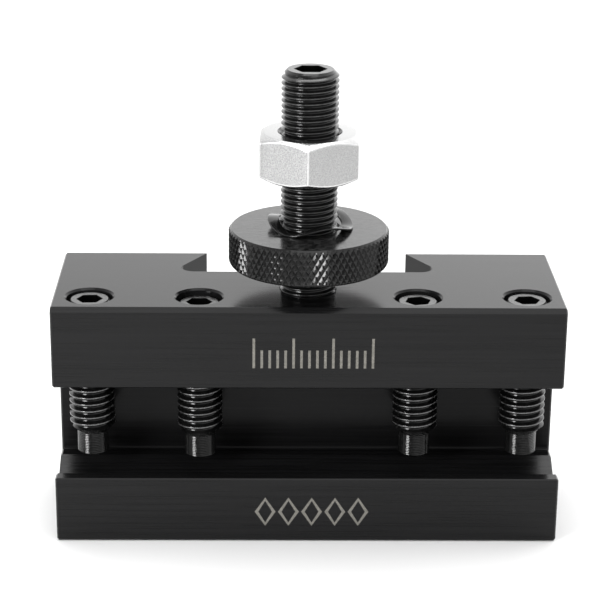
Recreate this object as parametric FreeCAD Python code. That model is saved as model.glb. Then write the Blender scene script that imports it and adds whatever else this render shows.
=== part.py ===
"""Turning and facing toolholder for a dovetail quick-change tool post.

Nine pieces: the slotted steel block, four dog-point clamping screws, the height
stud, its knurled thumbwheel with a wave washer on top, and the hex lock nut.

Frame: millimetres, +Z up, +X along the tool slot, -Y towards the slot's mouth and
+Y towards the dovetail. The origin is the centre of the block's underside.
"""
import FreeCAD, Part
import math
import os

V = FreeCAD.Vector
UP = V(0, 0, 1)

# Block
BLOCK_LENGTH = 88.9
BLOCK_DEPTH = 30.4
BLOCK_HEIGHT = 44.0
FRONT = -BLOCK_DEPTH / 2
REAR = BLOCK_DEPTH / 2
END = BLOCK_LENGTH / 2
TOP_CHAMFER = 0.8        # front top edge
EDGE_BREAK = 0.3         # every other outer edge
SLOT_EDGE_BREAK = 0.2    # both mouth edges of the tool slot

# Tool slot, open to the front and at both ends
UPPER_JAW = 14.7
LOWER_JAW = 12.1
SLOT_DEPTH = 13.1
SLOT_CORNER_RADIUS = 0.6
SLOT_FLOOR = LOWER_JAW
SLOT_CEILING = BLOCK_HEIGHT - UPPER_JAW
SLOT_BACK = FRONT + SLOT_DEPTH

# V groove in the slot floor, for round boring bars
GROOVE_HALF_WIDTH = 4.1
GROOVE_FLANK_DEG = 30.0
GROOVE_DEEP = GROOVE_HALF_WIDTH * math.tan(math.radians(GROOVE_FLANK_DEG))

# Dovetail in the rear face
DOVETAIL_MOUTH = 36.8
DOVETAIL_DEPTH = 10.7
DOVETAIL_FLANK_DEG = 60.0
DOVETAIL_CORNER_RADIUS = 2.3
DOVETAIL_LIP = 0.3       # blunt edge at the mouth

# Clamping screws, M8 with a hex socket and a dog point
SCREW_X = (-38.1, -19.05, 19.05, 38.1)
SCREW_BELOW_TOP = (0.5, 1.0, 0.7, 0.5)   # how far each one is screwed in
SCREW_Y = FRONT + 6.35
SCREW_RADIUS = 4.0
SCREW_LENGTH = 28.6
SCREW_TOP_CHAMFER = 0.6
DOG_RADIUS = 2.75
DOG_LENGTH = 4.2
DOG_CHAMFER = 0.35
SCREW_SOCKET = 4.0       # hex size across flats
SCREW_SOCKET_DEPTH = 4.0
SCREW_HOLE_SINK = 0.35   # countersink above each screw

# Height stud, M10 fine, locked into the block
STUD_Y = FRONT + 11.0
STUD_RADIUS = 4.95
STUD_ABOVE = 39.4
STUD_IN_BLOCK = 12.5
STUD_HOLE_DEPTH = 13.0
STUD_END_CHAMFER = 1.0
STUD_SOCKET = 5.0
STUD_SOCKET_DEPTH = 5.5
STUD_HOLE_SINK = 0.15

# Running clearance of every thread, as a plain bore around the full diameter
THREAD_CLEARANCE = 0.05

# Knurled thumbwheel
WHEEL_RADIUS = 14.0
WHEEL_THICKNESS = 6.5
WHEEL_ABOVE = 4.8        # underside above the block
WHEEL_CHAMFER = 0.5
WHEEL_SINK = 0.5
WHEEL_BOTTOM = BLOCK_HEIGHT + WHEEL_ABOVE
WHEEL_TOP = WHEEL_BOTTOM + WHEEL_THICKNESS

# Wave washer, lying loose and a little off centre on the stud
WASHER_X = 0.25
WASHER_INNER = 5.5
WASHER_OUTER = 7.45
WASHER_SHEET = 0.35
WASHER_WAVES = 3
WASHER_WAVE_HEIGHT = 1.4
WASHER_HIGH_DEG = -66.0  # direction of one crest
WASHER_GAP = 0.02        # under its lowest points
WASHER_POINTS = 36       # spline points round each edge

# Lock nut
NUT_FLATS = 17.0
NUT_HEIGHT = 8.0
NUT_ABOVE = 20.5
NUT_CORNER_DEG = -92.5   # direction of one corner
NUT_FACE_RADIUS = 8.1    # round face left by the corner chamfer
NUT_CHAMFER_DEG = 30.0
NUT_SINK = 0.6


def turned(outline, x, y):
    """Solid turned about a vertical axis at x, y from (radius, height) corners."""
    corners = [V(x + radius, y, height) for radius, height in outline]
    wire = Part.makePolygon(corners + corners[:1])
    return Part.Face(wire).revolve(V(x, y, 0), UP, 360)


def hexagon(across_flats, height, x, y, bottom, corner_deg):
    """Upright hexagonal prism with one corner in the direction corner_deg."""
    radius = across_flats / math.sqrt(3)
    corners = []
    for side in range(6):
        angle = math.radians(corner_deg + 60 * side)
        corners.append(V(x + radius * math.cos(angle), y + radius * math.sin(angle), bottom))
    return Part.Face(Part.makePolygon(corners + corners[:1])).extrude(V(0, 0, height))


def socket(across_flats, depth, x, y, top, corner_deg):
    """Hex key socket: the prism, its drilled cone below and a small mouth chamfer."""
    radius = across_flats / 2
    mouth = across_flats / math.sqrt(3) + 0.15
    prism = hexagon(across_flats, depth, x, y, top - depth, corner_deg)
    cone = Part.makeCone(0, radius, radius * 0.6, V(x, y, top - depth - radius * 0.6), UP)
    chamfer = Part.makeCone(mouth - 0.4, mouth, 0.4, V(x, y, top - 0.4), UP)
    return prism.fuse(cone).fuse(chamfer)


def edges_where(shape, test):
    """Edges of a shape whose every end and middle point passes the test."""
    found = []
    for edge in shape.Edges:
        middle = edge.valueAt((edge.FirstParameter + edge.LastParameter) / 2)
        if all(test(point) for point in [vertex.Point for vertex in edge.Vertexes] + [middle]):
            found.append(edge)
    return found


def near(value, target):
    """Whether two lengths are the same, within rounding."""
    return abs(value - target) < 1e-4


def block_section():
    """Side view of the block: a C around the tool slot, with the V groove in its floor."""
    return [
        (FRONT + EDGE_BREAK, 0),
        (FRONT, EDGE_BREAK),
        (FRONT, SLOT_FLOOR - SLOT_EDGE_BREAK),
        (FRONT + SLOT_EDGE_BREAK, SLOT_FLOOR),
        (SCREW_Y - GROOVE_HALF_WIDTH, SLOT_FLOOR),
        (SCREW_Y, SLOT_FLOOR - GROOVE_DEEP),
        (SCREW_Y + GROOVE_HALF_WIDTH, SLOT_FLOOR),
        (SLOT_BACK, SLOT_FLOOR),
        (SLOT_BACK, SLOT_CEILING),
        (FRONT + SLOT_EDGE_BREAK, SLOT_CEILING),
        (FRONT, SLOT_CEILING + SLOT_EDGE_BREAK),
        (FRONT, BLOCK_HEIGHT - TOP_CHAMFER),
        (FRONT + TOP_CHAMFER, BLOCK_HEIGHT),
        (REAR - EDGE_BREAK, BLOCK_HEIGHT),
        (REAR, BLOCK_HEIGHT - EDGE_BREAK),
        (REAR, EDGE_BREAK),
        (REAR - EDGE_BREAK, 0),
    ]


def dovetail_cutter():
    """Prism of the dovetail groove, with round corners at its bottom."""
    beyond = 1.0
    mouth = DOVETAIL_MOUTH / 2
    bottom = REAR - DOVETAIL_DEPTH
    spread = (DOVETAIL_DEPTH - DOVETAIL_LIP) / math.tan(math.radians(DOVETAIL_FLANK_DEG))
    half = [(mouth, REAR + beyond), (mouth, REAR - DOVETAIL_LIP), (mouth + spread, bottom)]
    outline = half + [(-x, y) for x, y in reversed(half)]
    corners = [V(x, y, -beyond) for x, y in outline]
    wire = Part.makePolygon(corners + corners[:1])
    prism = Part.Face(wire).extrude(V(0, 0, BLOCK_HEIGHT + 2 * beyond))
    corner_edges = edges_where(prism, lambda p: near(abs(p.x), mouth + spread) and near(p.y, bottom))
    return prism.makeFillet(DOVETAIL_CORNER_RADIUS, corner_edges)


def countersunk_hole(radius, x, y, bottom, sink):
    """Cutter for a hole from bottom up through the block's top, with a countersink."""
    top = BLOCK_HEIGHT
    outline = [(0, bottom), (radius, bottom), (radius, top - sink), (radius + sink, top)]
    return turned(outline + [(radius + sink, top + 1), (0, top + 1)], x, y)


def holder_body():
    """The block with its tool slot, V groove, dovetail and tapped holes."""
    corners = [V(-END, y, z) for y, z in block_section()]
    section = Part.Face(Part.makePolygon(corners + corners[:1]))
    block = section.extrude(V(BLOCK_LENGTH, 0, 0))
    end_edges = edges_where(block, lambda p: near(abs(p.x), END))
    block = block.makeChamfer(EDGE_BREAK, end_edges)
    inner = edges_where(
        block,
        lambda p: near(p.y, SLOT_BACK) and (near(p.z, SLOT_FLOOR) or near(p.z, SLOT_CEILING)),
    )
    block = block.makeFillet(SLOT_CORNER_RADIUS, inner)
    block = block.cut(dovetail_cutter())
    for x in SCREW_X:
        radius = SCREW_RADIUS + THREAD_CLEARANCE
        block = block.cut(countersunk_hole(radius, x, SCREW_Y, SLOT_CEILING - 1, SCREW_HOLE_SINK))
    stud_hole = countersunk_hole(
        STUD_RADIUS, 0, STUD_Y, BLOCK_HEIGHT - STUD_HOLE_DEPTH, STUD_HOLE_SINK
    )
    return block.cut(stud_hole)


def set_screw(x, below_top):
    """Clamping screw: dog point, shoulder, threaded length and hex socket."""
    top = BLOCK_HEIGHT - below_top
    tip = top - SCREW_LENGTH
    shoulder = tip + DOG_LENGTH
    outline = [
        (0, tip),
        (DOG_RADIUS - DOG_CHAMFER, tip),
        (DOG_RADIUS, tip + DOG_CHAMFER),
        (DOG_RADIUS, shoulder),
        (SCREW_RADIUS, shoulder + SCREW_RADIUS - DOG_RADIUS),
        (SCREW_RADIUS, top - SCREW_TOP_CHAMFER),
        (SCREW_RADIUS - SCREW_TOP_CHAMFER, top),
        (0, top),
    ]
    screw = turned(outline, x, SCREW_Y)
    return screw.cut(socket(SCREW_SOCKET, SCREW_SOCKET_DEPTH, x, SCREW_Y, top, 0))


def height_stud():
    """Stud that carries the thumbwheel and the lock nut, with a hex socket on top."""
    bottom = BLOCK_HEIGHT - STUD_IN_BLOCK
    top = BLOCK_HEIGHT + STUD_ABOVE
    outline = [
        (0, bottom),
        (STUD_RADIUS - STUD_END_CHAMFER, bottom),
        (STUD_RADIUS, bottom + STUD_END_CHAMFER),
        (STUD_RADIUS, top - STUD_END_CHAMFER),
        (STUD_RADIUS - STUD_END_CHAMFER, top),
        (0, top),
    ]
    stud = turned(outline, 0, STUD_Y)
    return stud.cut(socket(STUD_SOCKET, STUD_SOCKET_DEPTH, 0, STUD_Y, top, 0))


def bored_outline(outer, bore, sink, bottom, top):
    """Half section of a bored piece: its outer corners, then a countersunk bore."""
    inside = [(bore + sink, top), (bore, top - sink), (bore, bottom + sink), (bore + sink, bottom)]
    return outer + inside


def thumbwheel():
    """Bored disc, chamfered round both faces."""
    outer = [
        (WHEEL_RADIUS - WHEEL_CHAMFER, WHEEL_BOTTOM),
        (WHEEL_RADIUS, WHEEL_BOTTOM + WHEEL_CHAMFER),
        (WHEEL_RADIUS, WHEEL_TOP - WHEEL_CHAMFER),
        (WHEEL_RADIUS - WHEEL_CHAMFER, WHEEL_TOP),
    ]
    bore = STUD_RADIUS + THREAD_CLEARANCE
    return turned(bored_outline(outer, bore, WHEEL_SINK, WHEEL_BOTTOM, WHEEL_TOP), 0, STUD_Y)


def wave_edge(radius, lift):
    """Closed wavy edge at a radius, lifted above the lowest point of the washer."""
    points = []
    for step in range(WASHER_POINTS):
        angle = 2 * math.pi * step / WASHER_POINTS
        crest = math.cos(WASHER_WAVES * (angle - math.radians(WASHER_HIGH_DEG)))
        height = WHEEL_TOP + WASHER_GAP + lift + WASHER_WAVE_HEIGHT / 2 * (1 + crest)
        points.append(V(WASHER_X + radius * math.cos(angle), STUD_Y + radius * math.sin(angle), height))
    curve = Part.BSplineCurve()
    curve.interpolate(Points=points, PeriodicFlag=True)
    return curve.toShape()


def wave_washer():
    """Sheet ring bent into waves: four ruled faces between its four wavy edges."""
    edges = [
        wave_edge(WASHER_INNER, 0),
        wave_edge(WASHER_OUTER, 0),
        wave_edge(WASHER_OUTER, WASHER_SHEET),
        wave_edge(WASHER_INNER, WASHER_SHEET),
    ]
    following = edges[1:] + edges[:1]
    faces = [Part.makeRuledSurface(first, second) for first, second in zip(edges, following)]
    shell = Part.Shell(Part.makeCompound(faces).Faces)
    shell.sewShape()
    solid = Part.Solid(Part.Shell(shell.Faces))
    if solid.Volume < 0:
        solid.reverse()
    return solid


def lock_nut():
    """Hex nut with its corners chamfered to a round face above and below."""
    bottom = BLOCK_HEIGHT + NUT_ABOVE
    top = bottom + NUT_HEIGHT
    corner = NUT_FLATS / math.sqrt(3) + 0.1
    drop = (corner - NUT_FACE_RADIUS) * math.tan(math.radians(NUT_CHAMFER_DEG))
    outer = [
        (NUT_FACE_RADIUS, bottom),
        (corner, bottom + drop),
        (corner, top - drop),
        (NUT_FACE_RADIUS, top),
    ]
    bore = STUD_RADIUS + THREAD_CLEARANCE
    blank = turned(bored_outline(outer, bore, NUT_SINK, bottom, top), 0, STUD_Y)
    return blank.common(hexagon(NUT_FLATS, NUT_HEIGHT, 0, STUD_Y, bottom, NUT_CORNER_DEG))


def write(node, shape):
    """Save one piece as its own STEP file, after checking that it is one sound solid."""
    solids = shape.Solids
    if len(solids) != 1 or not shape.isValid():
        raise ValueError(node + " is not one valid solid")
    solids[0].exportStep("parts/" + node + ".step")
    print(node, round(solids[0].Volume, 1))


def main():
    os.makedirs("parts", exist_ok=True)
    write("holder_body", holder_body())
    for number, (x, below_top) in enumerate(zip(SCREW_X, SCREW_BELOW_TOP), start=1):
        write("set_screw_" + str(number), set_screw(x, below_top))
    write("height_stud", height_stud())
    write("thumbwheel", thumbwheel())
    write("wave_washer", wave_washer())
    write("lock_nut", lock_nut())


main()
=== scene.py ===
"""Looks of the dovetail toolholder: threads, knurl, washer, nut, finishes, light and camera.

Lengths are millimetres times MM, so every point is in metres in the shared frame.
"""

import math

import bmesh
import bpy
from mathutils import Matrix, Vector


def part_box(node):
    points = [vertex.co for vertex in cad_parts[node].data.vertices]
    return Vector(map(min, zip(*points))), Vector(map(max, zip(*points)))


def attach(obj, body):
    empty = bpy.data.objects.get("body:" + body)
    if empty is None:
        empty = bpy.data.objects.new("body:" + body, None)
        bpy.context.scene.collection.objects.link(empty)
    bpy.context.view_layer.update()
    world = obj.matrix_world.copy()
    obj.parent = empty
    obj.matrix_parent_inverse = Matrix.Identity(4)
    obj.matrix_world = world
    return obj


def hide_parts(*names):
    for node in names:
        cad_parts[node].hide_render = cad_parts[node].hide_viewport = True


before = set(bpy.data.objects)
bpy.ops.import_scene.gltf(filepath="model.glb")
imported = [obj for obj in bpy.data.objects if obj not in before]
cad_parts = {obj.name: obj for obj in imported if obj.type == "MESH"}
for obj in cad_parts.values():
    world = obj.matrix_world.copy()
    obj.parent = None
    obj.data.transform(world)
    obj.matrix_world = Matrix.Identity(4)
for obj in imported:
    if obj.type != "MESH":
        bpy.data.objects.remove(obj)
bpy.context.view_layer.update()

MM = 0.001
TURN = 2 * math.pi
MERGE = 2e-7                 # points nearer than this become one
POINT_RADIUS = 0.02 * MM     # innermost ring of a closed end

# Block and its tool slot
BLOCK_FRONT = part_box("holder_body")[0][1]
SLOT_DEPTH = 13.1 * MM
SLOT_FLOOR = 12.1 * MM
SLOT_CEILING = 29.3 * MM
SLOT_FILLET = 0.6 * MM
BEHIND_MARGIN = 0.1 * MM     # how far behind the slot's back its painted shade may reach
FLOOR_MARGIN = 0.001 * MM    # where that painted shade starts above the slot's floor
CEILING_MARGIN = 0.05 * MM   # and where it ends below its ceiling

# ISO thread, in pitches; two narrow bevels wear each crest round
THREAD_DEPTH = 0.6134
THREAD_LAND = 1 / 16
THREAD_ROOT = 1 / 8
CREST_BEVELS = [(0.75, 0.0), (1.25, 0.0102), (1.5, 0.0258)]     # (lands along, pitches down)
ROOT_STEPS = [(0.0, 0.93), (0.45, 0.9615), (1.0, 1.0)]          # (roots along, share of depth)
THREAD_LEAD = 1.001          # the thread starts this far below its rod
ROD_SIDES = 96
CREST_GLINT_BAND = 0.03 * MM       # the painted crest highlight starts this far below the crest
FLANK_REACH = 1.0 * MM       # flanks lie within this of the crest
PLAIN_END = 1.0 * MM         # length at a rod's end left without the flank finish and painted crest highlight

# Hex key sockets
SOCKET_EDGE = 0.05 * MM
DRILL_WIDTH = 0.98           # by the socket's width
DRILL_POINT = 0.28           # depth of the drill point, by the same
DRILL_STEP = 0.05 * MM

# Clamping screws, M8
SCREW_PITCH = 1.25 * MM
SCREW_CREST = 4.0 * MM
SCREW_TOP_RADIUS = 3.3 * MM
SCREW_SOCKET = 4.0 * MM
SCREW_SOCKET_DEPTH = 4.0 * MM
SCREW_SOCKET_TURNS = [math.radians(degrees) for degrees in (3, 0, 14, 5)]
DOG_RADIUS = 2.75 * MM
DOG_LENGTH = 4.2 * MM
DOG_CHAMFER = 0.35 * MM
DOG_ROUNDING = 0.08 * MM     # softens the chamfer's upper edge
DOG_FOOT = 0.05 * MM         # plain band between the chamfer and the grooves
DOG_GROOVES = 12             # fine turning grooves round the dog point
DOG_GROOVE_DEPTH = 0.06 * MM

# Height stud, M10 fine
STUD_PITCH = 1.0 * MM
STUD_CREST = 4.95 * MM
STUD_END_RADIUS = 3.95 * MM
STUD_SOCKET = 5.0 * MM
STUD_SOCKET_DEPTH = 5.5 * MM

# Thumbwheel
WHEEL_RADIUS = 14.0 * MM
WHEEL_BORE = 5.0 * MM
WHEEL_SINK = 0.5 * MM
WHEEL_FACE_EDGE = 0.3 * MM   # outermost ring of its flat faces
KNURLS = 75
KNURL_CELLS = 8              # grid cells across one diamond
KNURL_ROWS = 26              # grid rows over the wheel's thickness
KNURL_DEPTH = 0.28 * MM
KNURL_LAND = 0.75            # a diamond's flat top starts at this height
KNURL_MARGIN = 0.05 * MM     # how far inside the faces' edge the knurl's finish starts
CHAMFER_ROWS = 2

# Wave washer
WASHER_INNER = 5.5 * MM
WASHER_OUTER = 7.45 * MM
WASHER_SHEET = 0.35 * MM
WASHER_EDGE = 0.09 * MM
WASHER_ROUND = 0.3           # where its rounded edge's middle point lies
WASHER_STEPS = 240
WASHER_WAVES = 3
WASHER_HIGH = math.radians(-66)

# Lock nut
NUT_FLATS = 17.0 * MM
NUT_BORE = 5.0 * MM
NUT_SINK = 0.6 * MM
NUT_FACE_RADIUS = 8.1 * MM
NUT_FACE_EDGE = 0.15 * MM    # softened edge of its round end face
NUT_FACE_DROP = 0.02 * MM
NUT_CORNER = math.radians(-92.5)
NUT_CORNER_TURNS = [-0.030, -0.022, -0.014, -0.0065, 0.0, 0.0065, 0.014, 0.022, 0.030]
NUT_FLAT_STEPS = 24
NUT_ROUNDING = 0.35 * MM
NUT_CHAMFER = math.radians(30)
NUT_EDGE = 0.16 * MM         # width of the bright painted highlight line along its edges
NUT_RIM = 0.12 * MM          # height of the softened rim under the chamfer
NUT_RIM_STEPS = [            # (inset, share of the chamfer's drop, further drop)
    (0.08 * MM, 0.95, 0.03 * MM),
    (0.02 * MM, 1.0, 0.07 * MM),
    (0.0, 1.0, NUT_RIM + 0.05 * MM),
    (0.0, 1.0, NUT_RIM + NUT_EDGE),
]
NUT_SIDE_REACH = 0.15 * MM   # the painted highlight line lies within this of the sides
NUT_BORE_MARGIN = 0.02 * MM

# Etched marks on the front face, generic
MARK_MIDDLE = 0.8 * MM
MARK_LENGTH = 20.6 * MM
MARK_HEIGHT = 5.5 * MM
MARK_STROKE = 0.45 * MM
MARK_RAISE = 0.015 * MM
MARK_TICKS = 16
MARK_LONG_EVERY = 5
MARK_SHORT = 0.6             # a short tick's share of a long one
MARK_DIAMONDS = 5
DIAMOND_FILL = 0.9           # a diamond's share of its place in the row
DIAMOND_LINE = 1.4           # its outline along an axis, in strokes
UPPER_MARK = 33.1 * MM
LOWER_MARK = 3.0 * MM

# Finishes; noises are in cycles per metre
SHADE_SPAN = (0.35, 0.65)    # part of a noise's range that runs from dark to light
TOOL_MARK_RELIEF = 0.03 * MM
GRAIN_RELIEF = 0.02 * MM
TURNED_STRETCH = 0.9
ACROSS_GROOVES = 0.25        # quarter turn, from along the grooves to across them
ZINC_SPECKLE = 4200
ZINC_RELIEF = 0.6
ETCHED_FROST = 3000
ETCHED_ROUGHNESS = 0.6

# Stage
FLOOR_HALF = 3.0
FLOOR_SHADE = 0.77
FLOOR_ROUGHNESS = 0.9
FLOOR_GAP = 0.05 * MM        # keeps the floor clear of the block's underside
WORLD_BY_DEPTH = {"low": 0.6, "high": 1.72, "low_at": -0.5, "high_at": 0.6}
WORLD_BY_WIDTH = {"low": -0.2, "high": 0.4, "low_at": -0.25, "high_at": 0.25}
CAMERA_PLACE = (-7.52 * MM, -339.87 * MM, 161.79 * MM)
CAMERA_PITCH = math.radians(19.68)
CAMERA_YAW = math.radians(-1.04)
CAMERA_ROLL = math.radians(0.565)
CAMERA_LENS = 121.14         # millimetres, as its sensor's width
CAMERA_SENSOR = 36
CAMERA_NEAR = 0.01


# ---------------------------------------------------------------- places from the frame

def middle_of(node):
    low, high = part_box(node)
    return (low[0] + high[0]) / 2, (low[1] + high[1]) / 2


def bottom_of(node):
    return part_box(node)[0][2]


def top_of(node):
    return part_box(node)[1][2]


# ---------------------------------------------------------------- mesh helpers

def finish_mesh(name, points, faces, material, body, sharp=30.0):
    """Object from points and faces, merged, with edges sharp from an angle in degrees."""
    mesh = bpy.data.meshes.new(name)
    mesh.from_pydata(points, [], faces)
    work = bmesh.new()
    work.from_mesh(mesh)
    bmesh.ops.remove_doubles(work, verts=work.verts, dist=MERGE)
    bmesh.ops.dissolve_degenerate(work, edges=work.edges, dist=MERGE)
    bmesh.ops.recalc_face_normals(work, faces=work.faces)
    limit = math.radians(sharp)
    for face in work.faces:
        face.smooth = True
    for edge in work.edges:
        edge.smooth = len(edge.link_faces) == 2 and edge.calc_face_angle(0.0) < limit
    work.to_mesh(mesh)
    work.free()
    mesh.materials.append(material)
    piece = bpy.data.objects.new(name, mesh)
    bpy.context.scene.collection.objects.link(piece)
    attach(piece, body)
    return piece


def paint(piece, material, chosen):
    """Give one more material to the faces whose middle is chosen."""
    piece.data.materials.append(material)
    last = len(piece.data.materials) - 1
    for face in piece.data.polygons:
        if chosen(face.center):
            face.material_index = last


def join_rings(rings, faces, start, count):
    """Quads between successive rings of count points, numbered from start."""
    for ring in range(rings - 1):
        low = start + ring * count
        for step in range(count):
            following = (step + 1) % count
            faces.append((
                low + step, low + following, low + count + following, low + count + step,
            ))


def ring_points(radius, height, count, x, y):
    """One ring; radius may be a number or a function of the angle."""
    points = []
    for step in range(count):
        angle = TURN * step / count
        reach = radius(angle) if callable(radius) else radius
        points.append((x + reach * math.cos(angle), y + reach * math.sin(angle), height))
    return points


def hexagon(across_flats, corner):
    """Radius of a hexagon as a function of the angle, with one corner at an angle."""
    def radius(angle):
        side = (angle - corner) % (TURN / 6) - TURN / 12
        return across_flats / 2 / math.cos(side)
    return radius


def socket_rings(across_flats, depth, top, rim, turn=0.0):
    """Rings down a hex key socket, from the end face's rim to the drill point."""
    hexed = hexagon(across_flats, turn)
    return [
        (rim, top),
        (lambda angle: hexed(angle) + SOCKET_EDGE, top),
        (hexed, top - SOCKET_EDGE),
        (hexed, top - depth),
        (across_flats / 2 * DRILL_WIDTH, top - depth - DRILL_STEP),
        (POINT_RADIUS, top - depth - across_flats * DRILL_POINT),
    ]


def thread_profile(pitch):
    """(fraction of pitch, depth below the crest) along one thread, from crest to crest."""
    knots = [(0, 0)]
    for lands, down in CREST_BEVELS:
        knots.append((THREAD_LAND * lands, down * pitch))
    for along, share in ROOT_STEPS:
        knots.append((0.5 - THREAD_ROOT * (1 - along), THREAD_DEPTH * pitch * share))
    mirrored = [(1 - fraction, below) for fraction, below in reversed(knots[1:-1])]
    return knots + mirrored


def threaded_rod(name, x, y, low, high, crest, pitch, low_rings, high_rings, limit, material, body):
    """Closed rod with a right-hand thread from low to high.

    low_rings run from the centre of the lower end up to low, and high_rings from
    high to the centre of the upper end. limit(z) is the blank's radius at a height.
    """
    profile = thread_profile(pitch)
    per_turn = len(profile)
    count = ROD_SIDES
    start = low - pitch * THREAD_LEAD
    turns = math.ceil((high - start) / pitch) + 1
    rows = per_turn * turns + 1
    points = []
    for row in range(rows):
        fraction, below = profile[row % per_turn]
        for step in range(count):
            height = start + pitch * (row // per_turn + fraction + step / count)
            height = min(max(height, low), high)
            reach = min(crest - below, limit(height))
            angle = TURN * step / count
            points.append((x + reach * math.cos(angle), y + reach * math.sin(angle), height))
    faces = []
    for row in range(rows - 1):
        for step in range(count - 1):
            a = row * count + step
            faces.append((a, a + 1, a + count + 1, a + count))
        ahead = row + per_turn
        if ahead < rows - 1:
            a = row * count + count - 1
            faces.append((a, ahead * count, (ahead + 1) * count, a + count))
    for rings in (low_rings, high_rings):
        first = len(points)
        for radius, height in rings:
            points += ring_points(radius, height, count, x, y)
        join_rings(len(rings), faces, first, count)
        centre_ring = first if rings is low_rings else first + (len(rings) - 1) * count
        faces.append(tuple(range(centre_ring, centre_ring + count)))
    return finish_mesh(name, points, faces, material, body, sharp=10.0)


# ---------------------------------------------------------------- materials

def new_material(name):
    material = bpy.data.materials.new(name)
    material.use_nodes = True
    nodes = material.node_tree.nodes
    return material, nodes, material.node_tree.links, nodes["Principled BSDF"]


def noise_node(nodes, links, cycles, detail, roughness=0.55):
    """Noise on the object's own coordinates, in cycles per metre along X, Y and Z."""
    coordinates = nodes.new("ShaderNodeTexCoord")
    mapping = nodes.new("ShaderNodeMapping")
    mapping.inputs["Scale"].default_value = cycles
    noise = nodes.new("ShaderNodeTexNoise")
    noise.inputs["Scale"].default_value = 1.0
    noise.inputs["Detail"].default_value = detail
    noise.inputs["Roughness"].default_value = roughness
    links.new(coordinates.outputs["Object"], mapping.inputs["Vector"])
    links.new(mapping.outputs["Vector"], noise.inputs["Vector"])
    return noise.outputs["Fac"]


def ramp_node(nodes, links, source, low, high, low_at=0.3, high_at=0.7):
    """Values low to high where the source runs from low_at to high_at."""
    ramp = nodes.new("ShaderNodeMapRange")
    ramp.inputs["From Min"].default_value = low_at
    ramp.inputs["From Max"].default_value = high_at
    ramp.inputs["To Min"].default_value = low
    ramp.inputs["To Max"].default_value = high
    links.new(source, ramp.inputs["Value"])
    return ramp.outputs["Result"]


def mix_colour(nodes, links, factor, first, second):
    mix = nodes.new("ShaderNodeMix")
    mix.data_type = "RGBA"
    mix.inputs["A"].default_value = (*first, 1)
    mix.inputs["B"].default_value = (*second, 1)
    links.new(factor, mix.inputs["Factor"])
    return mix.outputs["Result"]


def bump_node(nodes, links, height, strength, distance):
    bump = nodes.new("ShaderNodeBump")
    bump.inputs["Strength"].default_value = strength
    bump.inputs["Distance"].default_value = distance
    links.new(height, bump.inputs["Height"])
    return bump


def grey(shade):
    return shade, shade, shade


def evenly(cycles):
    return cycles, cycles, cycles


def black_oxide(name, dark, light, rough, ior, marks, relief=0.12, grain=2600, grainy=False,
                turned=False):
    """Oiled black oxide over machined steel.

    marks are the tool marks' cycles per metre along X, Y and Z, and grain is the fine
    grain's. The shade follows the marks, or the grain where grainy is set. Fine grooves
    round the vertical axis draw a turned surface's highlights out upwards.
    """
    material, nodes, links, shader = new_material(name)
    marked = noise_node(nodes, links, marks, detail=4.0)
    grained = noise_node(nodes, links, evenly(grain), detail=2.0)
    shade = ramp_node(nodes, links, grained if grainy else marked, 0.0, 1.0, *SHADE_SPAN)
    links.new(mix_colour(nodes, links, shade, dark, light), shader.inputs["Base Color"])
    links.new(ramp_node(nodes, links, marked, *rough), shader.inputs["Roughness"])
    shader.inputs["IOR"].default_value = ior
    if turned:
        around = nodes.new("ShaderNodeTangent")
        around.direction_type = "RADIAL"
        around.axis = "Z"
        links.new(around.outputs["Tangent"], shader.inputs["Tangent"])
        shader.inputs["Anisotropic"].default_value = TURNED_STRETCH
        shader.inputs["Anisotropic Rotation"].default_value = ACROSS_GROOVES
    coarse = bump_node(nodes, links, marked, relief, TOOL_MARK_RELIEF)
    fine = bump_node(nodes, links, grained, relief, GRAIN_RELIEF)
    links.new(coarse.outputs["Normal"], fine.inputs["Normal"])
    links.new(fine.outputs["Normal"], shader.inputs["Normal"])
    return material


def bright_zinc(name, dark, light, rough):
    """Zinc plate with a fine speckle."""
    material, nodes, links, shader = new_material(name)
    speckle = noise_node(nodes, links, evenly(ZINC_SPECKLE), detail=3.0, roughness=0.7)
    shade = ramp_node(nodes, links, speckle, 0.0, 1.0, *SHADE_SPAN)
    colour = mix_colour(nodes, links, shade, grey(dark), grey(light))
    links.new(colour, shader.inputs["Base Color"])
    shader.inputs["Metallic"].default_value = 1.0
    links.new(ramp_node(nodes, links, speckle, *rough), shader.inputs["Roughness"])
    bump = bump_node(nodes, links, speckle, ZINC_RELIEF, GRAIN_RELIEF)
    links.new(bump.outputs["Normal"], shader.inputs["Normal"])
    return material


def etched_mark(name, dark, light):
    """Pale frosted finish of a mark etched through the black."""
    material, nodes, links, shader = new_material(name)
    frost = noise_node(nodes, links, evenly(ETCHED_FROST), detail=2.0)
    shade = ramp_node(nodes, links, frost, 0.0, 1.0)
    links.new(mix_colour(nodes, links, shade, dark, light), shader.inputs["Base Color"])
    shader.inputs["Roughness"].default_value = ETCHED_ROUGHNESS
    return material


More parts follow.
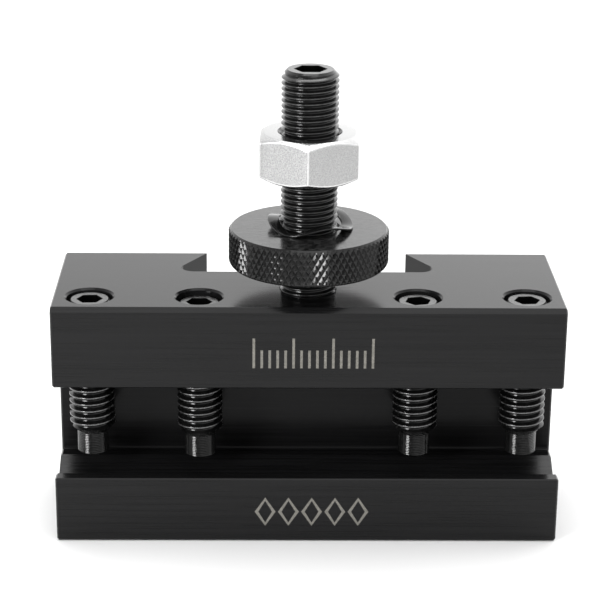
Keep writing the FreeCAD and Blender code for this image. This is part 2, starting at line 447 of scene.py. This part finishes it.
ALONG_X = (40, 2400, 2400)
BLOCK = black_oxide(
    "ground_black_oxide", dark=(0.0045, 0.0045, 0.0047), light=(0.0075, 0.0075, 0.0078),
    rough=(0.14, 0.22), ior=1.28, marks=ALONG_X, relief=0.2, grain=3500,
)
# Darker, less glossy black for the slot's back wall: painted shade in the recess under the upper jaw
SLOT_WALL_SHADE = black_oxide(
    "slot_wall_painted_shade", dark=(0.004, 0.004, 0.0042), light=(0.0065, 0.0065, 0.0067),
    rough=(0.18, 0.28), ior=1.21, marks=ALONG_X, relief=0.2, grain=3500,
)
SCREW = black_oxide(
    "oiled_screw_black", dark=grey(0.003), light=grey(0.01),
    rough=(0.12, 0.26), ior=1.55, marks=evenly(1800), relief=0.7,
)
SCREW_FLANK = black_oxide(
    "oiled_flank_black", dark=grey(0.002), light=grey(0.006),
    rough=(0.12, 0.22), ior=1.38, marks=evenly(1400), relief=0.7,
)
# Brighter crest colours for screws and stud: a painted highlight along the thread crests
SCREW_CREST_GLINT = black_oxide(
    "screw_crest_painted_highlight", dark=grey(0.006), light=grey(0.06),
    rough=(0.16, 0.32), ior=1.9, marks=evenly(1400), relief=1.0, turned=True,
)
STUD_CREST_GLINT = black_oxide(
    "stud_crest_painted_highlight", dark=grey(0.003), light=grey(0.03),
    rough=(0.3, 0.42), ior=1.6, marks=evenly(1400), relief=1.0, turned=True,
)
DOG = black_oxide(
    "turned_dog_black", dark=grey(0.002), light=grey(0.007),
    rough=(0.12, 0.2), ior=1.43, marks=evenly(1800), relief=0.9,
)
# Near-black for the inside of hex sockets: painted shade
SHADOW = black_oxide(
    "socket_painted_shade", dark=grey(0.001), light=grey(0.002),
    rough=(0.5, 0.6), ior=1.12, marks=(900, 900, 300),
)
STUD = black_oxide(
    "oiled_stud_black", dark=grey(0.003), light=grey(0.008),
    rough=(0.12, 0.24), ior=1.43, marks=evenly(1800), relief=0.6,
)
KNURL = black_oxide(
    "knurled_black", dark=grey(0.002), light=grey(0.006),
    rough=(0.08, 0.16), ior=1.38, marks=evenly(900), relief=0.2,
)
WHEEL = black_oxide(
    "faced_wheel_black", dark=grey(0.001), light=grey(0.024),
    rough=(0.13, 0.22), ior=1.37, marks=evenly(900), relief=0.5, grain=1400, grainy=True,
)
WASHER = black_oxide(
    "spring_black", dark=grey(0.004), light=grey(0.008),
    rough=(0.10, 0.18), ior=1.45, marks=evenly(500),
)
ZINC = bright_zinc("bright_zinc_plate", dark=0.385, light=0.485, rough=(0.2, 0.32))
# Smoother turned zinc for the nut's top face, made darker as painted shade
ZINC_TURNED_TOP_SHADE = bright_zinc("zinc_turned_top_painted_shade", dark=0.34, light=0.38, rough=(0.16, 0.24))
# Light zinc along the nut's edges: a painted highlight
ZINC_EDGE_HIGHLIGHT = bright_zinc("zinc_edge_painted_highlight", dark=0.66, light=0.72, rough=(0.25, 0.35))
MARK = etched_mark("etched_mark", dark=(0.12, 0.115, 0.1), light=(0.19, 0.18, 0.16))


# ---------------------------------------------------------------- finishes, painted shade and painted highlights on chosen faces

def on_slot_wall(point):
    """Whether a point of the block lies on the back of its tool slot."""
    behind = point.y - BLOCK_FRONT - SLOT_DEPTH
    between = SLOT_FLOOR + FLOOR_MARGIN < point.z < SLOT_CEILING - CEILING_MARGIN
    return between and -SLOT_FILLET < behind < BEHIND_MARGIN


def thread_finish(piece, x, y, low, high, crest, flank_material, crest_material):
    """Oiled flanks, and crests painted brighter as a highlight, on the threads between two heights.
    """
    def lies(point, inner, outer):
        above_crest = math.hypot(point.x - x, point.y - y) - crest
        return low < point.z < high and inner < above_crest <= outer

    paint(piece, flank_material, lambda point: lies(point, -FLANK_REACH, -CREST_GLINT_BAND))
    paint(piece, crest_material, lambda point: lies(point, -CREST_GLINT_BAND, CREST_GLINT_BAND))


def shade_socket(piece, x, y, top, across_flats):
    """Painted shade for the walls of a hex socket, which is less than two widths deep."""
    reach = across_flats / math.sqrt(3)

    def in_socket(point):
        deep = top - 2 * across_flats < point.z < top - SOCKET_EDGE
        return deep and math.hypot(point.x - x, point.y - y) < reach

    paint(piece, SHADOW, in_socket)


# ---------------------------------------------------------------- the block

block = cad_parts["holder_body"]
block.data.materials.clear()
block.data.materials.append(BLOCK)
# The slot's back wall gets the darker black as painted shade
paint(block, SLOT_WALL_SHADE, on_slot_wall)


# ---------------------------------------------------------------- clamping screws

def clamping_screw(node, body, socket_turn):
    x, y = middle_of(node)
    tip, top = bottom_of(node), top_of(node)
    shoulder = tip + DOG_LENGTH

    def blank(height):
        return min(DOG_RADIUS + (height - shoulder), SCREW_TOP_RADIUS + (top - height), SCREW_CREST)

    low_rings = [
        (POINT_RADIUS, tip),
        (DOG_RADIUS - DOG_CHAMFER, tip),
        (DOG_RADIUS - DOG_ROUNDING, tip + DOG_CHAMFER - DOG_ROUNDING),
    ]
    foot = tip + DOG_CHAMFER + DOG_FOOT
    steps = 2 * DOG_GROOVES
    for step in range(steps + 1):
        cut = DOG_GROOVE_DEPTH * (step % 2)
        low_rings.append((DOG_RADIUS - cut, foot + (shoulder - foot) * step / steps))
    high_rings = socket_rings(SCREW_SOCKET, SCREW_SOCKET_DEPTH, top, SCREW_TOP_RADIUS, socket_turn)
    piece = threaded_rod(
        "clamping_screw_" + node[-1], x, y, shoulder, top, SCREW_CREST, SCREW_PITCH,
        low_rings, high_rings, blank, SCREW, body,
    )
    thread_finish(piece, x, y, shoulder, top - PLAIN_END, SCREW_CREST, SCREW_FLANK, SCREW_CREST_GLINT)
    paint(piece, DOG, lambda point: point.z < shoulder)
    shade_socket(piece, x, y, top, SCREW_SOCKET)
    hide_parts(node)


for number, turn in enumerate(SCREW_SOCKET_TURNS, start=1):
    clamping_screw("set_screw_" + str(number), "screw_" + str(number), turn)


# ---------------------------------------------------------------- height stud

def height_stud():
    x, y = middle_of("height_stud")
    low, high = bottom_of("height_stud"), top_of("height_stud")

    def blank(height):
        return min(STUD_END_RADIUS + min(height - low, high - height), STUD_CREST)

    low_rings = [(POINT_RADIUS, low), (STUD_END_RADIUS, low)]
    high_rings = socket_rings(STUD_SOCKET, STUD_SOCKET_DEPTH, high, STUD_END_RADIUS)
    piece = threaded_rod(
        "threaded_stud", x, y, low, high, STUD_CREST, STUD_PITCH,
        low_rings, high_rings, blank, STUD, "holder",
    )
    thread_finish(
        piece, x, y, low + PLAIN_END, high - PLAIN_END, STUD_CREST, STUD, STUD_CREST_GLINT,
    )
    shade_socket(piece, x, y, high, STUD_SOCKET)
    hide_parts("height_stud")


height_stud()


# ---------------------------------------------------------------- thumbwheel

def knurl_height(column, row):
    """Height of the knurl, from 0 in its grooves to 1 on the diamonds' flat tops."""
    height = 1.0
    for lean in (1, -1):
        across = ((column + lean * row) % KNURL_CELLS) / KNURL_CELLS
        height = min(height, 1 - abs(2 * across - 1))
    return min(height / KNURL_LAND, 1.0)


def knurled_wheel():
    x, y = middle_of("thumbwheel")
    low, high = bottom_of("thumbwheel"), top_of("thumbwheel")
    count = KNURLS * KNURL_CELLS
    step_height = (high - low) / KNURL_ROWS
    chamfer = CHAMFER_ROWS * step_height
    points = []
    for row in range(KNURL_ROWS + 1):
        height = low + row * step_height
        edge = WHEEL_RADIUS - chamfer + min(height - low, high - height, chamfer)
        for column in range(count):
            cut = KNURL_DEPTH * (1 - knurl_height(column, row))
            reach = min(WHEEL_RADIUS - cut, edge)
            angle = TURN * column / count
            points.append((x + reach * math.cos(angle), y + reach * math.sin(angle), height))
    faces = []
    for row in range(KNURL_ROWS):
        for column in range(count):
            following = (column + 1) % count
            a, b = row * count + column, row * count + following
            c, d = b + count, a + count
            if (column + row) % 2 == 0:
                faces += [(a, b, c), (a, c, d)]
            else:
                faces += [(a, b, d), (b, c, d)]
    rim = WHEEL_RADIUS - chamfer
    inner = [
        (rim, high),
        (rim - WHEEL_FACE_EDGE, high),
        (WHEEL_BORE + WHEEL_SINK, high),
        (WHEEL_BORE, high - WHEEL_SINK),
        (WHEEL_BORE, low + WHEEL_SINK),
        (WHEEL_BORE + WHEEL_SINK, low),
        (rim, low),
    ]
    first = len(points)
    for radius, height in inner:
        points += ring_points(radius, height, count, x, y)
    join_rings(len(inner), faces, first, count)
    piece = finish_mesh("knurled_wheel", points, faces, WHEEL, "wheel", sharp=14.0)
    knurled = rim - KNURL_MARGIN
    paint(piece, KNURL, lambda point: math.hypot(point.x - x, point.y - y) > knurled)
    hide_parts("thumbwheel")


knurled_wheel()


# ---------------------------------------------------------------- wave washer

def spring_washer():
    x, y = middle_of("wave_washer")
    low, high = bottom_of("wave_washer"), top_of("wave_washer")
    wave = high - low - WASHER_SHEET
    count = WASHER_STEPS
    inner, outer, sheet = WASHER_INNER, WASHER_OUTER, WASHER_SHEET
    edge, bend = WASHER_EDGE, WASHER_ROUND * WASHER_EDGE
    middle = (inner + outer) / 2
    section = [
        (inner + edge, 0), (inner + bend, bend), (inner, edge),
        (inner, sheet - edge), (inner + bend, sheet - bend), (inner + edge, sheet),
        (middle, sheet),
        (outer - edge, sheet), (outer - bend, sheet - bend), (outer, sheet - edge),
        (outer, edge), (outer - bend, bend), (outer - edge, 0),
        (middle, 0),
    ]
    points = []
    for radius, lift in section:
        for step in range(count):
            angle = TURN * step / count
            crest = math.cos(WASHER_WAVES * (angle - WASHER_HIGH))
            height = low + lift + wave / 2 * (1 + crest)
            points.append((x + radius * math.cos(angle), y + radius * math.sin(angle), height))
    faces = []
    for ring in range(len(section)):
        following_ring = (ring + 1) % len(section)
        for step in range(count):
            following = (step + 1) % count
            faces.append((
                ring * count + step, ring * count + following,
                following_ring * count + following, following_ring * count + step,
            ))
    piece = finish_mesh("spring_washer", points, faces, WASHER, "washer", sharp=50.0)
    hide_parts("wave_washer")


spring_washer()


# ---------------------------------------------------------------- lock nut

def nut_angles():
    """Angles round the nut, closer together at its six corners."""
    sixth = TURN / 6
    flat = [sixth * step / NUT_FLAT_STEPS for step in range(1, NUT_FLAT_STEPS)]
    angles = []
    for side in range(6):
        angles += [side * sixth + offset for offset in NUT_CORNER_TURNS + flat]
    return [NUT_CORNER + angle for angle in angles]


def from_corner(angle):
    """Angle from the nut's nearest corner."""
    return (angle - NUT_CORNER + TURN / 12) % (TURN / 6) - TURN / 12


def rounded_hexagon(angle):
    """Distance from the axis to the nut's side, with its six corners rounded."""
    turned = from_corner(angle)
    flat = NUT_FLATS / 2 / math.cos(TURN / 12 - abs(turned))
    centre = (NUT_FLATS / 2 - NUT_ROUNDING) / math.cos(TURN / 12)
    inside = NUT_ROUNDING ** 2 - (centre * math.sin(turned)) ** 2
    if inside <= 0:
        return flat
    return min(flat, centre * math.cos(turned) + math.sqrt(inside))


def hex_nut():
    x, y = middle_of("height_stud")
    low, high = bottom_of("lock_nut"), top_of("lock_nut")
    slope = math.tan(NUT_CHAMFER)
    angles = nut_angles()
    sides = [rounded_hexagon(angle) for angle in angles]

    def drop(radius):
        return max(radius - NUT_FACE_RADIUS, 0.0) * slope

    def round_ring(radius, height):
        return [(radius, height)] * len(sides)

    def end_rings(sign, end):
        """Rings from the round face over the corner chamfer and its softened rim to the side."""
        rings = [
            round_ring(NUT_BORE + NUT_SINK, end),
            round_ring(NUT_FACE_RADIUS - NUT_FACE_EDGE, end),
            round_ring(NUT_FACE_RADIUS, end - sign * NUT_FACE_DROP),
        ]
        for inset, share, further in NUT_RIM_STEPS:
            rings.append([
                (side - inset, end - sign * (drop(side) * share + further)) for side in sides
            ])
        return rings

    bore_top = round_ring(NUT_BORE, high - NUT_SINK)
    bore_bottom = round_ring(NUT_BORE, low + NUT_SINK)
    rings = [bore_top] + end_rings(1, high) + end_rings(-1, low)[::-1] + [bore_bottom, bore_top]
    points = []
    for ring in rings:
        for angle, (reach, height) in zip(angles, ring):
            points.append((x + reach * math.cos(angle), y + reach * math.sin(angle), height))
    faces = []
    join_rings(len(rings), faces, 0, len(angles))
    piece = finish_mesh("hex_nut", points, faces, ZINC, "nut")

    def on_top(point):
        return point.z > high - NUT_FACE_DROP

    def on_edge(point):
        angle = math.atan2(point.y - y, point.x - x)
        side = rounded_hexagon(angle)
        if math.hypot(point.x - x, point.y - y) < side - NUT_SIDE_REACH:
            return False
        to_rim = min(high - point.z, point.z - low) - drop(side)
        return abs(from_corner(angle)) < NUT_EDGE / side or to_rim < NUT_RIM + NUT_EDGE

    def in_bore(point):
        return math.hypot(point.x - x, point.y - y) < NUT_BORE + NUT_SINK - NUT_BORE_MARGIN

    # The top face gets the smoother zinc, made darker as painted shade
    paint(piece, ZINC_TURNED_TOP_SHADE, on_top)
    # Its edges and corners get the light zinc as a painted highlight
    paint(piece, ZINC_EDGE_HIGHLIGHT, on_edge)
    # The bore and its countersink take the stud's near-black: painted shade inside the nut's hole
    paint(piece, STUD, in_bore)
    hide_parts("lock_nut")


hex_nut()


# ---------------------------------------------------------------- etched marks

def raised(points, faces, corners):
    """One thin raised shape on the block's front face, from its (x, z) corners."""
    first = len(points)
    count = len(corners)
    for y in (BLOCK_FRONT - MARK_RAISE, BLOCK_FRONT + MARK_RAISE):
        points += [(x, y, z) for x, z in corners]
    faces.append(tuple(range(first, first + count)))
    faces.append(tuple(range(first + count, first + 2 * count)))
    join_rings(2, faces, first, count)


def tick_scale():
    """Plain ruler ticks on the upper jaw."""
    points, faces = [], []
    for tick in range(MARK_TICKS):
        x = MARK_MIDDLE + MARK_LENGTH * (tick / (MARK_TICKS - 1) - 0.5)
        x0, x1 = x - MARK_STROKE / 2, x + MARK_STROKE / 2
        z0 = UPPER_MARK
        z1 = z0 + MARK_HEIGHT * (1.0 if tick % MARK_LONG_EVERY == 0 else MARK_SHORT)
        raised(points, faces, [(x0, z0), (x1, z0), (x1, z1), (x0, z1)])
    finish_mesh("tick_scale", points, faces, MARK, "holder")


def diamond_row():
    """Plain outlined diamonds on the lower jaw."""
    points, faces = [], []
    middle_z = LOWER_MARK + MARK_HEIGHT / 2
    place = MARK_LENGTH / MARK_DIAMONDS / 2
    half_width, half_height = place * DIAMOND_FILL, MARK_HEIGHT / 2
    inset = MARK_STROKE * DIAMOND_LINE
    for diamond in range(MARK_DIAMONDS):
        middle_x = MARK_MIDDLE - MARK_LENGTH / 2 + place * (2 * diamond + 1)
        outline = []
        for across, up in ((1, 0), (0, 1), (-1, 0), (0, -1)):
            outer = (middle_x + across * half_width, middle_z + up * half_height)
            inner = (middle_x + across * (half_width - inset), middle_z + up * (half_height - inset))
            outline.append((outer, inner))
        for side in range(4):
            (outer, inner), (next_outer, next_inner) = outline[side], outline[(side + 1) % 4]
            raised(points, faces, [outer, next_outer, next_inner, inner])
    finish_mesh("diamond_row", points, faces, MARK, "holder")


tick_scale()
diamond_row()


# ---------------------------------------------------------------- stage

def pale_floor():
    material, *_, shader = new_material("pale_floor")
    shader.inputs["Base Color"].default_value = (*grey(FLOOR_SHADE), 1)
    shader.inputs["Roughness"].default_value = FLOOR_ROUGHNESS
    mesh = bpy.data.meshes.new("floor")
    half = FLOOR_HALF
    corners = [(-half, -half, 0), (half, -half, 0), (half, half, 0), (-half, half, 0)]
    mesh.from_pydata(corners, [], [(0, 1, 2, 3)])
    mesh.materials.append(material)
    floor = bpy.data.objects.new("floor", mesh)
    floor.location.z = -FLOOR_GAP
    bpy.context.scene.collection.objects.link(floor)


def soft_world():
    """White surroundings: dimmer in front of the object, brighter behind it and to its right."""
    world = bpy.data.worlds.new("studio")
    bpy.context.scene.world = world
    world.use_nodes = True
    nodes, links = world.node_tree.nodes, world.node_tree.links
    coordinates = nodes.new("ShaderNodeTexCoord")
    split = nodes.new("ShaderNodeSeparateXYZ")
    total = nodes.new("ShaderNodeMath")
    total.operation = "ADD"
    links.new(coordinates.outputs["Generated"], split.inputs[0])
    by_depth = ramp_node(nodes, links, split.outputs["Y"], **WORLD_BY_DEPTH)
    by_width = ramp_node(nodes, links, split.outputs["X"], **WORLD_BY_WIDTH)
    links.new(by_depth, total.inputs[0])
    links.new(by_width, total.inputs[1])
    links.new(total.outputs["Value"], nodes["Background"].inputs["Strength"])
    nodes["Background"].inputs["Color"].default_value = (1, 1, 1, 1)


def soft_box(name, location, target, width, height, power, spread=180.0):
    """Rectangular area light that faces a target; spread is in degrees."""
    light = bpy.data.lights.new(name, "AREA")
    light.shape = "RECTANGLE"
    light.size = width
    light.size_y = height
    light.energy = power
    light.spread = math.radians(spread)
    lamp = bpy.data.objects.new(name, light)
    lamp.location = location
    lamp.rotation_euler = (Vector(target) - Vector(location)).to_track_quat("-Z", "Y").to_euler()
    bpy.context.scene.collection.objects.link(lamp)


def front_camera():
    data = bpy.data.cameras.new("camera")
    data.sensor_width = CAMERA_SENSOR
    data.lens = CAMERA_LENS
    data.clip_start = CAMERA_NEAR
    camera = bpy.data.objects.new("camera", data)
    yaw = Matrix.Rotation(CAMERA_YAW, 4, "Z")
    tilt = Matrix.Rotation(math.pi / 2 - CAMERA_PITCH, 4, "X")
    roll = Matrix.Rotation(CAMERA_ROLL, 4, "Z")
    camera.matrix_world = Matrix.Translation(CAMERA_PLACE) @ yaw @ tilt @ roll
    bpy.context.scene.collection.objects.link(camera)
    bpy.context.scene.camera = camera


pale_floor()
soft_world()
soft_box(
    "overhead_box", location=(0, 0.06, 0.45), target=(0, 0, 0.04), width=0.3, height=0.3, power=1.3,
)
soft_box(
    "front_overhead_box", location=(0, -0.185, 0.45), target=(0, -0.1, 0.04),
    width=0.3, height=0.19, power=0.28,
)
soft_box(
    "key_box", location=(-0.23, -0.22, 0.12), target=(0, 0, 0.05),
    width=0.1, height=0.13, power=0.17, spread=80,
)
front_camera()
bpy.context.scene.view_settings.view_transform = "Standard"
